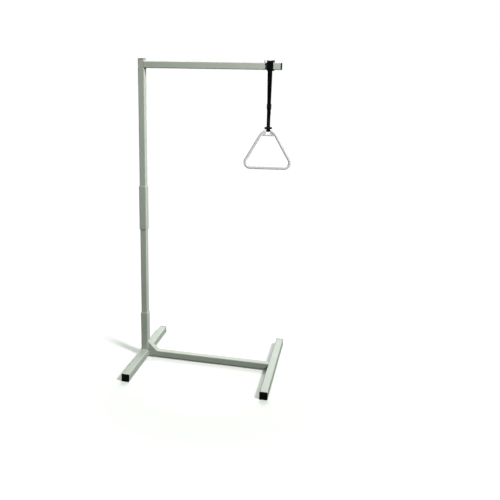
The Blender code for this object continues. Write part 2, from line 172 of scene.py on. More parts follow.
def patch(points, ring=True, loop=False, capFirst=False, capLast=False, edge=None, closed=True):
    # quads between neighbouring rows of points: ring closes every row, loop joins the last row to the first
    points = np.asarray(points, float)
    rows, cols = points.shape[:2]
    i = np.arange(rows if loop else rows - 1)[:, None]
    j = np.arange(cols if ring else cols - 1)[None, :]
    ahead, beside = (i + 1) % rows, (j + 1) % cols
    corner = (i * cols + j, i * cols + beside, ahead * cols + beside, ahead * cols + j)
    quads = np.stack(np.broadcast_arrays(*corner), -1)
    # UV in metres: u is the way round the middle row, v the way along the first column
    around = np.linalg.norm(np.roll(points[rows // 2], -1, 0) - points[rows // 2], axis=1)
    along = np.linalg.norm(np.roll(points[:, 0], -1, 0) - points[:, 0], axis=1)
    u, v = np.append(0, np.cumsum(around)), np.append(0, np.cumsum(along))
    grid = [np.broadcast_arrays(u[c], v[r]) for c, r in ((j, i), (j + 1, i), (j + 1, i + 1), (j, i + 1))]
    uv = np.stack([np.stack(g, -1) for g in grid], -2).reshape(-1, 2)
    faces, sizes = [quads.reshape(-1)], [np.full(quads.shape[0] * quads.shape[1], 4)]
    for wanted, row, order in ((capFirst, 0, -1), (capLast, rows - 1, 1)):
        if wanted:
            faces.append((row * cols + np.arange(cols))[::order])
            sizes.append(np.array([cols]))
            uv = np.concatenate([uv, np.stack([u[:cols], np.full(cols, v[row])], -1)[::order]])
    shape = {"points": points.reshape(-1, 3), "loops": np.concatenate(faces), "sizes": np.concatenate(sizes)}
    shape["uv"] = uv
    shape["edge"] = np.broadcast_to(0.0 if edge is None else edge, (rows, cols)).reshape(-1)
    return outward(shape) if closed else shape


def outward(shape):
    # a closed shape whose signed volume is negative has its faces turned over
    starts = np.append(0, np.cumsum(shape["sizes"]))[:-1]
    corner = shape["points"][shape["loops"]] - shape["points"].mean(0)
    face = np.repeat(np.arange(len(starts)), shape["sizes"])
    last = starts[face] + shape["sizes"][face] - 1
    following = np.where(np.arange(len(corner)) == last, starts[face], np.arange(len(corner)) + 1)
    volume = np.einsum("ij,ij->i", corner[starts[face]], np.cross(corner, corner[following])).sum()
    if volume < 0:
        turned = starts[face] + last - np.arange(len(corner))
        shape["loops"], shape["uv"] = shape["loops"][turned], shape["uv"][turned]
    return shape


def meshFrom(name, shapes):
    mesh = bpy.data.meshes.new(name)
    shift = np.append(0, np.cumsum([len(s["points"]) for s in shapes]))
    points = np.concatenate([s["points"] for s in shapes])
    loops = np.concatenate([s["loops"] + k for s, k in zip(shapes, shift)])
    sizes = np.concatenate([s["sizes"] for s in shapes])
    mesh.vertices.add(len(points))
    mesh.vertices.foreach_set("co", points.astype(np.float32).ravel())
    mesh.loops.add(len(loops))
    mesh.loops.foreach_set("vertex_index", loops.astype(np.int32))
    mesh.polygons.add(len(sizes))
    mesh.polygons.foreach_set("loop_start", np.append(0, np.cumsum(sizes))[:-1].astype(np.int32))
    mesh.update(calc_edges=True)
    uv = np.concatenate([s["uv"] for s in shapes]).astype(np.float32)
    mesh.uv_layers.new(name="UVMap").data.foreach_set("uv", uv.ravel())
    edge = mesh.attributes.new("edge", "FLOAT", "POINT")
    edge.data.foreach_set("value", np.concatenate([s["edge"] for s in shapes]).astype(np.float32))
    mesh.validate()
    return mesh


def finishPiece(name, shapes, material, body, replaces=(), sharp=38):
    mesh = shapes if isinstance(shapes, bpy.types.Mesh) else meshFrom(name, shapes)
    mesh.materials.append(material)
    mesh.shade_smooth()
    mesh.set_sharp_from_angle(angle=radians(sharp))
    piece = bpy.data.objects.new(name, mesh)
    scene.collection.objects.link(piece)
    if replaces:
        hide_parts(*replaces)
    if isinstance(body, str):
        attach(piece, body)
    return piece


def roundedSquare(width, radius, steps=8, depth=None):
    # four quarter circles, with a point either side of each flat's middle so that the flats shade flat
    half = np.array([width / 2 - radius, (depth or width) / 2 - radius])
    turn = np.linspace(0, pi / 2, steps + 1)
    centres = np.array([(1, 1), (-1, 1), (-1, -1), (1, -1)]) * half
    angles = turn[None] + np.arange(4)[:, None] * pi / 2
    arcs = centres[:, None] + radius * np.stack([np.cos(angles), np.sin(angles)], -1)
    last, following = arcs[:, -1], np.roll(arcs[:, 0], -1, 0)
    inFlat = np.stack([last + (following - last) * share for share in (0.04, 0.96)], 1)
    return np.concatenate([arcs, inFlat], 1).reshape(-1, 2)


def cornerMask(steps=8):
    # 1 on the quarter circles and 0 on the flats of roundedSquare
    return np.tile(np.append(np.ones(steps + 1), (0, 0)), 4)


def onAxis(flat, along, axis, centre):
    # puts 2D profile points across an axis: axis 0 is X, 1 is Y, 2 is Z
    others = [k for k in range(3) if k != axis]
    points = np.zeros((*np.broadcast_shapes(flat.shape[:-1], np.shape(along)), 3))
    points[..., others[0]] = flat[..., 0] + centre[others[0]]
    points[..., others[1]] = flat[..., 1] + centre[others[1]]
    points[..., axis] = along
    return points


def newGroup(name, inputs, outputs):
    group = bpy.data.node_groups.new(name, "ShaderNodeTree")
    for label, kind, value in inputs:
        socket = group.interface.new_socket(name=label, in_out="INPUT", socket_type="NodeSocket" + kind)
        if value is not None:
            socket.default_value = value
    for label, kind in outputs:
        group.interface.new_socket(name=label, in_out="OUTPUT", socket_type="NodeSocket" + kind)
    return group, group.nodes.new("NodeGroupInput"), group.nodes.new("NodeGroupOutput")


def mathNode(tree, operation, first, second=None, third=None):
    node = tree.nodes.new("ShaderNodeMath")
    node.operation = operation
    for socket, value in zip(node.inputs, (first, second, third)):
        if isinstance(value, (int, float)):
            socket.default_value = value
        elif value is not None:
            tree.links.new(value, socket)
    return node.outputs[0]


def noiseNode(tree, vector, scale, detail=2.0, roughness=0.5):
    node = tree.nodes.new("ShaderNodeTexNoise")
    node.inputs["Detail"].default_value = detail
    node.inputs["Roughness"].default_value = roughness
    tree.links.new(vector, node.inputs["Vector"])
    if isinstance(scale, (int, float)):
        node.inputs["Scale"].default_value = scale
    else:
        tree.links.new(scale, node.inputs["Scale"])
    return node.outputs["Fac"]


def rangeNode(tree, value, low, high, outLow=0.0, outHigh=1.0):
    node = tree.nodes.new("ShaderNodeMapRange")
    node.clamp = True
    tree.links.new(value, node.inputs["Value"])
    for label, number in (("From Min", low), ("From Max", high), ("To Min", outLow), ("To Max", outHigh)):
        node.inputs[label].default_value = number
    return node.outputs["Result"]


def mixColour(tree, share, first, second):
    node = tree.nodes.new("ShaderNodeMix")
    node.data_type = "RGBA"
    for socket, value in ((node.inputs[0], share), (node.inputs[6], first), (node.inputs[7], second)):
        if isinstance(value, (int, float)):
            socket.default_value = value
        elif isinstance(value, tuple):
            socket.default_value = (*value, 1)
        else:
            tree.links.new(value, socket)
    return node.outputs[2]


def makeGrainGroup():
    # fine all-over texture of a coat or a moulding, and a slow drift of shade over the piece
    group, given, out = newGroup(
        "fineGrain",
        [("Vector", "Vector", None), ("Grain Scale", "Float", 700.0), ("Drift Scale", "Float", 6.0)],
        [("Height", "Float"), ("Drift", "Float")],
    )
    height = noiseNode(group, given.outputs["Vector"], given.outputs["Grain Scale"], 3.0, 0.55)
    drift = noiseNode(group, given.outputs["Vector"], given.outputs["Drift Scale"], 4.0, 0.6)
    group.links.new(height, out.inputs["Height"])
    group.links.new(drift, out.inputs["Drift"])
    return group


def makeWearGroup():
    # chips and rubbing where the edge attribute is high, broken up by noise
    group, given, out = newGroup(
        "edgeWear",
        [
            ("Vector", "Vector", None), ("Edge", "Float", 0.0), ("Amount", "Float", 0.3),
            ("Chip Scale", "Float", 130.0),
        ],
        [("Mask", "Float"), ("Rub", "Float")],
    )
    chips = noiseNode(group, given.outputs["Vector"], given.outputs["Chip Scale"], 5.0, 0.62)
    patches = noiseNode(group, given.outputs["Vector"], 9.0, 2.0)
    level = mathNode(group, "MULTIPLY", rangeNode(group, patches, 0.4, 0.75), given.outputs["Amount"])
    rub = mathNode(group, "MULTIPLY", given.outputs["Edge"], level)
    worn = mathNode(group, "ADD", chips, mathNode(group, "MULTIPLY", rub, 0.55))
    chipped = rangeNode(group, worn, 0.74, 0.78)
    group.links.new(mathNode(group, "MULTIPLY", chipped, given.outputs["Edge"]), out.inputs["Mask"])
    group.links.new(rub, out.inputs["Rub"])
    return group


def makeScuffGroup():
    # thin scratches in two directions, each a noise stretched along its own line
    group, given, out = newGroup(
        "scuffs",
        [("Vector", "Vector", None), ("Scale", "Float", 60.0), ("Amount", "Float", 0.5)],
        [("Mask", "Float")],
    )
    found = None
    for turn, stretch in (((0.5, 0.2, 0.9), (1, 14, 9)), ((1.1, 0.7, 2.3), (11, 1, 15))):
        mapping = group.nodes.new("ShaderNodeMapping")
        mapping.inputs["Rotation"].default_value = turn
        mapping.inputs["Scale"].default_value = stretch
        group.links.new(given.outputs["Vector"], mapping.inputs["Vector"])
        stretched = noiseNode(group, mapping.outputs[0], given.outputs["Scale"], 2.0)
        line = rangeNode(group, stretched, 0.66, 0.74)
        found = line if found is None else mathNode(group, "MAXIMUM", found, line)
    where = rangeNode(group, noiseNode(group, given.outputs["Vector"], 14.0, 2.0), 0.45, 0.65)
    mask = mathNode(group, "MULTIPLY", mathNode(group, "MULTIPLY", found, where), given.outputs["Amount"])
    group.links.new(mask, out.inputs["Mask"])
    return group


def makeDustGroup():
    # settles on what faces up
    group, given, out = newGroup(
        "dust", [("Vector", "Vector", None), ("Amount", "Float", 0.3)], [("Mask", "Float")]
    )
    normal = group.nodes.new("ShaderNodeNewGeometry")
    split = group.nodes.new("ShaderNodeSeparateXYZ")
    group.links.new(normal.outputs["Normal"], split.inputs[0])
    up = rangeNode(group, split.outputs["Z"], 0.6, 1.0)
    blotch = rangeNode(group, noiseNode(group, given.outputs["Vector"], 35.0, 5.0, 0.65), 0.35, 0.75)
    mask = mathNode(group, "MULTIPLY", mathNode(group, "MULTIPLY", up, blotch), given.outputs["Amount"])
    group.links.new(mask, out.inputs["Mask"])
    return group


def makeWeaveGroup():
    # plain weave on a UV map in metres: yarns run along v, and every second one is half a step on. The
    # second output marks the yarns' crowns, where the webbing's colour is lightened as a painted highlight
    group, given, out = newGroup(
        "webbingWeave",
        [("UV", "Vector", None), ("Warp Pitch", "Float", 0.00125), ("Weft Pitch", "Float", 0.0017)],
        [("Height", "Float"), ("Crown", "Float")],
    )
    split = group.nodes.new("ShaderNodeSeparateXYZ")
    group.links.new(given.outputs["UV"], split.inputs[0])
    across = mathNode(group, "DIVIDE", split.outputs["X"], given.outputs["Warp Pitch"])
    along = mathNode(group, "DIVIDE", split.outputs["Y"], given.outputs["Weft Pitch"])
    odd = mathNode(group, "MULTIPLY", mathNode(group, "MODULO", mathNode(group, "FLOOR", across), 2.0), 0.5)
    yarn = mathNode(group, "ABSOLUTE", mathNode(group, "SINE", mathNode(group, "MULTIPLY", across, pi)))
    step = mathNode(group, "MULTIPLY", mathNode(group, "ADD", along, odd), pi)
    lift = mathNode(group, "ABSOLUTE", mathNode(group, "SINE", step))
    height = mathNode(group, "MULTIPLY", mathNode(group, "SQRT", yarn), mathNode(group, "SQRT", lift))
    group.links.new(height, out.inputs["Height"])
    # the yarns' crowns, which the webbing lightens in colour as a painted highlight
    group.links.new(mathNode(group, "POWER", height, 2.0), out.inputs["Crown"])
    return group


groups = {
    "grain": makeGrainGroup(),
    "wear": makeWearGroup(),
    "scuffs": makeScuffGroup(),
    "dust": makeDustGroup(),
    "weave": makeWeaveGroup(),
}


def placeGroup(tree, name, vector, values, socket="Vector"):
    node = tree.nodes.new("ShaderNodeGroup")
    node.node_tree = groups[name]
    tree.links.new(vector, node.inputs[socket])
    for label, value in values.items():
        if isinstance(value, (int, float)):
            node.inputs[label].default_value = value
        else:
            tree.links.new(value, node.inputs[label])
    return node.outputs


def newMaterial(name):
    made = bpy.data.materials.new(name)
    made.use_nodes = True
    tree = made.node_tree
    coordinates = tree.nodes.new("ShaderNodeTexCoord")
    return made, tree, tree.nodes["Principled BSDF"], coordinates.outputs


def bumpInto(tree, shader, height, distance, strength=1.0):
    bump = tree.nodes.new("ShaderNodeBump")
    bump.inputs["Distance"].default_value = distance
    bump.inputs["Strength"].default_value = strength
    tree.links.new(height, bump.inputs["Height"])
    tree.links.new(bump.outputs[0], shader.inputs["Normal"])


coatSettings = {
    "colour": (0.49, 0.53, 0.48),
    "shade": (0.455, 0.495, 0.445),
    "chip": (0.25, 0.25, 0.24),
    "dust": (0.56, 0.555, 0.53),
    "roughness": 0.42,
    "wear": 0.17,
}


def makePowderCoat(settings):
    made, tree, shader, at = newMaterial("powderCoat")
    grain = placeGroup(tree, "grain", at["Object"], {"Grain Scale": 620.0, "Drift Scale": 5.0})
    attribute = tree.nodes.new("ShaderNodeAttribute")
    attribute.attribute_name = "edge"
    edge = {"Edge": attribute.outputs["Fac"], "Amount": settings["wear"]}
    wear = placeGroup(tree, "wear", at["Object"], edge)
    dust = placeGroup(tree, "dust", at["Object"], {"Amount": 0.35})
    scuffs = placeGroup(tree, "scuffs", at["Object"], {"Scale": 24.0, "Amount": 0.25})
    drift = rangeNode(tree, grain["Drift"], 0.3, 0.7)
    colour = mixColour(tree, drift, settings["colour"], settings["shade"])
    colour = mixColour(tree, dust["Mask"], colour, settings["dust"])
    colour = mixColour(tree, scuffs["Mask"], colour, settings["shade"])
    colour = mixColour(tree, wear["Mask"], colour, settings["chip"])
    tree.links.new(colour, shader.inputs["Base Color"])
    rough = rangeNode(tree, grain["Drift"], 0.2, 0.8, -0.05, 0.06)
    rough = mathNode(tree, "ADD", rough, settings["roughness"])
    rough = mathNode(tree, "ADD", rough, mathNode(tree, "MULTIPLY", dust["Mask"], 0.3))
    tree.links.new(rough, shader.inputs["Roughness"])
    height = mathNode(tree, "SUBTRACT", grain["Height"], mathNode(tree, "MULTIPLY", wear["Mask"], 0.8))
    bumpInto(tree, shader, height, 0.00012, 0.7)
    return made


plasticSettings = {
    "black": {
        "colour": (0.004, 0.004, 0.0043), "worn": (0.025, 0.025, 0.025),
        "gloss": 0.3, "roughness": 0.42, "grain": 950.0, "scuff": 0.5,
    },
    "white": {
        "colour": (0.62, 0.61, 0.615), "worn": (0.52, 0.51, 0.50),
        "gloss": 0.5, "roughness": 0.3, "grain": 420.0, "scuff": 0.3,
    },
}


def makePlastic(name, settings):
    made, tree, shader, at = newMaterial(name)
    grain = placeGroup(tree, "grain", at["Object"], {"Grain Scale": settings["grain"], "Drift Scale": 22.0})
    scuffs = placeGroup(tree, "scuffs", at["Object"], {"Scale": 90.0, "Amount": settings["scuff"]})
    dust = placeGroup(tree, "dust", at["Object"], {"Amount": 0.12})
    shader.inputs["Specular IOR Level"].default_value = settings["gloss"]
    colour = mixColour(tree, scuffs["Mask"], settings["colour"], settings["worn"])
    colour = mixColour(tree, mathNode(tree, "MULTIPLY", dust["Mask"], 0.5), colour, settings["worn"])
    tree.links.new(colour, shader.inputs["Base Color"])
    base = settings["roughness"]
    rough = rangeNode(tree, grain["Drift"], 0.2, 0.8, base - 0.06, base + 0.08)
    rough = mathNode(tree, "ADD", rough, mathNode(tree, "MULTIPLY", scuffs["Mask"], 0.3))
    tree.links.new(rough, shader.inputs["Roughness"])
    bumpInto(tree, shader, grain["Height"], 0.00005, 0.6)
    return made


def makeWebbing():
    made, tree, shader, at = newMaterial("blackWebbing")
    weave = placeGroup(tree, "weave", at["UV"], {}, "UV")
    grain = placeGroup(tree, "grain", at["Object"], {"Grain Scale": 2600.0, "Drift Scale": 30.0})
    # painted highlight: the yarns' crowns get a lighter black than the hollows between them
    colour = mixColour(tree, weave["Crown"], (0.0007, 0.0007, 0.0008), (0.0045, 0.0045, 0.005))
    faded = rangeNode(tree, grain["Drift"], 0.5, 0.8, 0.0, 0.3)
    colour = mixColour(tree, faded, colour, (0.007, 0.007, 0.007))
    tree.links.new(colour, shader.inputs["Base Color"])
    shader.inputs["Specular IOR Level"].default_value = 0.05
    tree.links.new(rangeNode(tree, grain["Height"], 0.3, 0.7, 0.62, 0.85), shader.inputs["Roughness"])
    height = mathNode(tree, "ADD", weave["Height"], mathNode(tree, "MULTIPLY", grain["Height"], 0.25))
    bumpInto(tree, shader, height, 0.00028, 0.9)
    return made


def makeThread():
    made, tree, shader, at = newMaterial("sewingThread")
    grain = placeGroup(tree, "grain", at["Object"], {"Grain Scale": 4000.0, "Drift Scale": 60.0})
    colour = mixColour(tree, grain["Drift"], (0.03, 0.03, 0.032), (0.06, 0.06, 0.062))
    tree.links.new(colour, shader.inputs["Base Color"])
    shader.inputs["Roughness"].default_value = 0.6
    bumpInto(tree, shader, grain["Height"], 0.00008)
    return made


def makeZinc():
    made, tree, shader, at = newMaterial("zincPlate")
    grain = placeGroup(tree, "grain", at["Object"], {"Grain Scale": 900.0, "Drift Scale": 70.0})
    scuffs = placeGroup(tree, "scuffs", at["Object"], {"Scale": 120.0, "Amount": 0.7})
    drift = rangeNode(tree, grain["Drift"], 0.35, 0.7)
    colour = mixColour(tree, drift, (0.60, 0.61, 0.62), (0.66, 0.62, 0.52))
    colour = mixColour(tree, scuffs["Mask"], colour, (0.78, 0.78, 0.78))
    tree.links.new(colour, shader.inputs["Base Color"])
    shader.inputs["Metallic"].default_value = 1.0
    tree.links.new(rangeNode(tree, grain["Drift"], 0.2, 0.8, 0.24, 0.42), shader.inputs["Roughness"])
    bumpInto(tree, shader, grain["Height"], 0.00003, 0.5)
    return made


powderCoat = makePowderCoat(coatSettings)
blackPlastic = makePlastic("blackPlastic", plasticSettings["black"])
whitePlastic = makePlastic("whitePlastic", plasticSettings["white"])
blackWebbing = makeWebbing()
sewingThread = makeThread()
zincPlate = makeZinc()
print("materials made")


tubeSettings = {
    "slimWall": 0.002,
    "slimCorner": 0.0042,
    "wideWall": 0.0032,
    "wideCorner": 0.0055,
    "wideFrom": 0.042,  # tubes over this width are the wide ones
    "rim": 0.0006,
    "rimSteps": 4,
}


def tubeRows(width, corner, wall, start, end, settings=tubeSettings):
    # place along the tube, width and corner of each ring: round the outer rim, along, and back down the bore
    turn = np.linspace(0, pi / 2, settings["rimSteps"] + 1)
    ease, inset = settings["rim"] * (1 - np.cos(turn)), settings["rim"] * (1 - np.sin(turn))
    body = np.linspace(start + settings["rim"] * 1.5, end - settings["rim"] * 1.5, 12)
    along = np.concatenate([start + ease, body, (end - ease)[::-1]])
    shrink = np.concatenate([inset, 0 * body, inset[::-1]])
    rows = [(s, width - 2 * k, corner - k) for s, k in zip(along, shrink)]
    inner = width - 2 * wall
    return rows + [(end, inner, corner - wall), (start, inner, corner - wall)]


def squareTube(node, axis, body):
    low, high = corners(node)
    sides = [k for k in range(3) if k != axis]
    width = (high - low)[sides[0]]
    wide = width > tubeSettings["wideFrom"]
    corner, wall = [tubeSettings[("wide" if wide else "slim") + part] for part in ("Corner", "Wall")]
    rows = tubeRows(width, corner, wall, low[axis], high[axis])
    centre = (low + high) / 2
    points = [onAxis(roundedSquare(w, r), s, axis, centre) for s, w, r in rows]
    edge = np.broadcast_to(cornerMask(), (len(rows), len(cornerMask()))).copy()
    edge[:5] = edge[-7:-2] = 1
    shape = patch(points, loop=True, edge=edge)
    finishPiece(camel(node), [shape], powderCoat, body, [node])


def camel(name):
    first, *rest = name.split("_")
    return first + "".join(word.capitalize() for word in rest)


def makeTubes():
    for node, axis, body in (
        ("left_foot_tube", 1, "base"),
        ("right_foot_tube", 1, "base"),
        ("spine_tube", 0, "base"),
        ("mast_socket", 2, "base"),
        ("lower_mast_tube", 2, "lower_mast"),
        ("coupling_sleeve", 2, "lower_mast"),
        ("upper_mast_tube", 2, "upper_mast"),
        ("arm_tube", 0, "upper_mast"),
    ):
        squareTube(node, axis, body)


def makeBrace():
    # a tube at 45 degrees: each line of its profile runs between the socket's face and the spine's top
    low, high = corners("gusset_brace")
    width = high[1] - low[1]
    leg = high[0] - low[0]
    middleY = (high[1] + low[1]) / 2
    rings = []
    for shape, wall in ((width, 0.0), (width - 2 * tubeSettings["slimWall"], tubeSettings["slimWall"])):
        flat = roundedSquare(shape, tubeSettings["slimCorner"] - wall)
        depth = (width / 2 - flat[:, 0]) * sqrt(2)  # how far below the outer slope, along either leg
        reach = leg - depth
        top = np.stack([0 * reach + low[0], flat[:, 1] + middleY, low[2] + reach], -1)
        foot = np.stack([low[0] + reach, flat[:, 1] + middleY, 0 * reach + low[2]], -1)
        rings += [top, foot] if wall == 0 else [foot, top]
    edge = np.broadcast_to(cornerMask(), (4, len(cornerMask())))
    shape = patch(rings, loop=True, edge=edge)
    finishPiece("gussetBrace", [shape], powderCoat, "base", ["gusset_brace"])


makeTubes()
makeBrace()
print("tubes made")


weldSettings = {
    "leg": 0.0032,
    "pitch": 0.0024,
    "ripple": 0.10,
    "flush": 0.0022,  # a flush weld's size
    "flushBulge": 0.6,
    "inset": 0.004,  # how far a run stops short of a tube's corner
}


def bead(start, end, first, second, leg, bulge=0.35, settings=weldSettings):
    # a fillet: from one leg's end to the other through a bulging arc, its size rippling along the run
    start, end = np.array(start, float), np.array(end, float)
    length = np.linalg.norm(end - start)
    count = max(int(length / settings["pitch"] * 6), 12)
    s = np.linspace(0, 1, count + 1)
    ripple = 1 + settings["ripple"] * (np.abs(np.sin(s * length / settings["pitch"] * pi)) - 0.5)
    taper = np.sqrt(np.clip(1 - (2 * s - 1) ** 16, 0, 1)) * 0.9 + 0.1
    size = (ripple * taper)[:, None, None]
    turn = np.linspace(0, pi / 2, 9)[None, :, None]
    first, second = np.array(first, float) * leg, np.array(second, float) * leg
    straight = (1 - turn / (pi / 2)) * first + turn / (pi / 2) * second
    swell = np.sin(2 * turn) * bulge * (first + second) / 2
    face = straight + swell
    root = -(first + second) * 0.12 + 0 * face[:, :1]
    profile = np.concatenate([face, root], 1)
    points = start + s[:, None, None] * (end - start) + profile * size
    return patch(points, capFirst=True, capLast=True, edge=0.0)


def makeWelds():
    leg, flush, inset = weldSettings["leg"], weldSettings["flush"], weldSettings["inset"]
    swell = weldSettings["flushBulge"]
    x, y, z = np.eye(3)
    footHigh = corners("left_foot_tube")[1]
    rightLow = corners("right_foot_tube")[0]
    spineLow, spineHigh = corners("spine_tube")
    socketLow, socketHigh = corners("mast_socket")
    braceLow, braceHigh = corners("gusset_brace")
    armLow, armHigh = corners("arm_tube")
    mastFace = corners("upper_mast_tube")[1][0]
    base = []
    top = footHigh[2]
    for side in (-1, 1):  # the socket's front and rear on the foot
        ySide = socketHigh[1] * side
        start, end = (socketLow[0] + inset, ySide, top), (socketHigh[0] - inset, ySide, top)
        base.append(bead(start, end, y * side, z, leg))
    start, end = (socketLow[0], socketLow[1] + inset, top), (socketLow[0], socketHigh[1] - inset, top)
    base.append(bead(start, end, -x * 0.2 + z, -x * 0.2 - z, flush, swell))
    for face, away in ((footHigh[0], x), (rightLow[0], -x)):  # the spine's ends on the feet
        for side in (-1, 1):
            edge = spineHigh[1] * side
            start, end = (face, edge, spineLow[2] + inset), (face, edge, spineHigh[2] - inset)
            base.append(bead(start, end, away, y * side, leg))
        front, rear = spineLow[1] + inset, spineHigh[1] - inset
        start, end = (face, front, spineHigh[2]), (face, rear, spineHigh[2])
        base.append(bead(start, end, away + z * 0.25, -away + z * 0.25, flush, swell))
        base.append(bead((face, front, spineLow[2]), (face, rear, spineLow[2]), away, -z, leg))
    face = socketHigh[0]
    for side in (-1, 1):  # the brace against the socket, and along the spine
        edge = braceHigh[1] * side
        start, end = (face, edge, braceLow[2] + 0.01), (face, edge, braceHigh[2] - 0.003)
        base.append(bead(start, end, x, y * side, leg * 0.8))
        start, end = (braceLow[0] + 0.012, edge, top), (braceHigh[0] - 0.002, edge, top)
        base.append(bead(start, end, y * side * 0.25 + z, y * side * 0.25 - z, flush, swell))
    low, high = braceLow[1] + inset, braceHigh[1] - inset
    start, end = (face, low, braceHigh[2]), (face, high, braceHigh[2])
    base.append(bead(start, end, x * 0.6 - z * 0.2, z, leg))
    start, end = (braceHigh[0], low, top), (braceHigh[0], high, top)
    base.append(bead(start, end, z * 0.6 - x * 0.2, x, leg))
    finishPiece("baseWelds", base, powderCoat, "base", sharp=60)
    mast = []
    for height, way in ((armHigh[2], z), (armLow[2], -z)):
        start, end = (mastFace, armLow[1] + inset, height), (mastFace, armHigh[1] - inset, height)
        mast.append(bead(start, end, x, way, leg))
    for side in (-1, 1):
        edge, lean = armHigh[1] * side, y * side * 0.25
        start, end = (mastFace, edge, armLow[2] + 0.002), (mastFace, edge, armHigh[2] - 0.002)
        mast.append(bead(start, end, x + lean, -x + lean, flush, swell))
    finishPiece("armWelds", mast, powderCoat, "upper_mast", sharp=60)


makeWelds()
print("welds made")


capSettings = {
    "flange": 0.0047,
    "round": 0.0014,
    "dome": 0.0007,
    "corner": 0.0048,
    "ribs": (0.004, 0.009, 0.014),
    "rib": 0.0016,
    "ribSlack": 0.0006,
    "core": 0.0022,
    "depth": 0.020,
    "proud": 0.0016,  # a foot cap is this much wider than its tube
    "inCentre": (0.85, 0.7, 0.5, 0.3, 0.12),  # the dome's rings, as shares of its width
}


def endCap(node, axis, way, body, wall, corner, settings=capSettings):
    # rings from the plug's foot up over its ribs, out to the flange, round its edge and in over a low dome
    low, high = corners(node)
    across = [k for k in range(3) if k != axis]
    width = (high - low)[across[0]]
    bore = width - 2 * wall - (settings["proud"] if wall == tubeSettings["wideWall"] else 0.0)
    face = high[axis] if way > 0 else low[axis]  # the outermost plane
    seat = -settings["flange"]
    rib, core = bore - 2 * settings["ribSlack"], bore - 2 * settings["core"]
    boreCorner = corner - wall
    foot, flangeCorner = seat - settings["depth"], settings["corner"]
    rings = [(foot, core * 0.9, boreCorner), (foot + 0.002, core, boreCorner)]
    for depth in settings["ribs"][::-1]:
        at = seat - depth
        rings += [(at - settings["rib"], core, boreCorner), (at - settings["rib"] * 0.8, rib, boreCorner)]
        rings += [(at - settings["rib"] * 0.2, rib, boreCorner), (at, core, boreCorner)]
    rings += [
        (seat, core, boreCorner), (seat, width - 0.0004, flangeCorner), (seat + 0.0003, width, flangeCorner),
    ]
    top = -settings["dome"]
    for turn in np.linspace(0, pi / 2, 6):
        inset = settings["round"] * (1 - cos(turn))
        rings.append((top - settings["round"] * (1 - sin(turn)), width - 2 * inset, flangeCorner - inset))
    for share in settings["inCentre"]:
        inner = (width - 2 * settings["round"]) * share
        height = top + settings["dome"] * (1 - share**2)
        rings.append((height, inner, max(flangeCorner * share, inner * 0.12)))
    centre = (low + high) / 2
    points = [onAxis(roundedSquare(w, r), face + way * s, axis, centre) for s, w, r in rings]
    edge = np.array([1.0 if w > width - 0.004 else 0.0 for s, w, r in rings])[:, None]
    shape = patch(points, capFirst=True, capLast=True, edge=edge)
    finishPiece(camel(node), [shape], blackPlastic, body, [node], sharp=50)


def makeCaps():
    wide, slim = [(tubeSettings[size + "Wall"], tubeSettings[size + "Corner"]) for size in ("wide", "slim")]
    for side in ("left", "right"):
        for end, way in (("front", -1), ("rear", 1)):
            endCap(f"{side}_foot_{end}_cap", 1, way, "base", *wide)
    endCap("mast_top_cap", 2, 1, "upper_mast", *slim)
    endCap("arm_end_cap", 0, 1, "upper_mast", *slim)


makeCaps()
print("caps made")


pegSettings = {  # in radii: the weld foot's spread and rise, and the dome's rise
    "foot": 1.09,
    "footRise": 0.2,
    "dome": 0.6,
}
screwSettings = {
    "pitch": 0.00125,
    "depth": 0.00055,
    "turnSteps": 48,
    "radius": 0.0037,
    "head": 0.0053,
    "bore": 0.0041,
    "boreMouth": 0.0046,
    "boreChamfer": 0.0006,
}


def turnedRings(profile, axis, centre, way=1.0, steps=40):
    # rings of these radii at these places along the axis
    angles = np.linspace(0, 2 * pi, steps, endpoint=False)
    circle = np.stack([np.cos(angles), np.sin(angles)], -1)
    return np.array([onAxis(circle * r, centre[axis] + way * s, axis, centre) for r, s in profile])


def makePegs(settings=pegSettings):
    for node in ("inner_stop_peg", "outer_stop_peg"):
        low, high = corners(node)
        radius, height = (high[0] - low[0]) / 2, high[2] - low[2]
        spread, rise, over = [radius * settings[k] for k in ("foot", "footRise", "dome")]
        bend = np.linspace(0.05, pi / 2, 8)
        foot = [(spread - (spread - radius) * sin(t), rise * (1 - cos(t))) for t in bend]
        dome = [(radius * cos(t), height - over * (1 - sin(t))) for t in np.linspace(0, pi / 2 - 0.05, 9)]
        profile = [(spread, -0.0002), *foot, (radius, height * 0.5), *dome]
        centre = ((low + high) / 2 * (1, 1, 0)) + (0, 0, low[2])
        rings = turnedRings(profile, 2, centre)
        edge = np.array([0.0] * 11 + [1.0] * 8)[: len(profile), None]
        shape = patch(rings, capFirst=True, capLast=True, edge=edge)
        finishPiece(camel(node), [shape], powderCoat, "upper_mast", [node])


def hexRings(size, start, end, chamferFirst, chamferLast, centre, axis):
    # a hexagon cut by a cone at its ends: the radius is the lesser of the hexagon's and the cone's
    angles = np.linspace(0, 2 * pi, 48, endpoint=False)
    hexagon = size * cos(pi / 6) / np.cos((angles + pi / 6) % (pi / 3) - pi / 6)
    circle = np.stack([np.cos(angles), np.sin(angles)], -1)
    cut = size * 0.16
    places = []
    flat = size * cos(pi / 6)
    levels = [(start + cut * share, chamferFirst, share) for share in (0.0, 0.5, 1.0)]
    levels += [(end - cut * share, chamferLast, share) for share in (1.0, 0.5, 0.0)]
    for at, chamfered, share in levels:
        cone = flat * 0.98 + (size - flat * 0.98) * share if chamfered else size * 2
        radius = np.minimum(hexagon, cone)
        places.append(onAxis(circle * radius[:, None], at, axis, centre))
    return np.array(places)


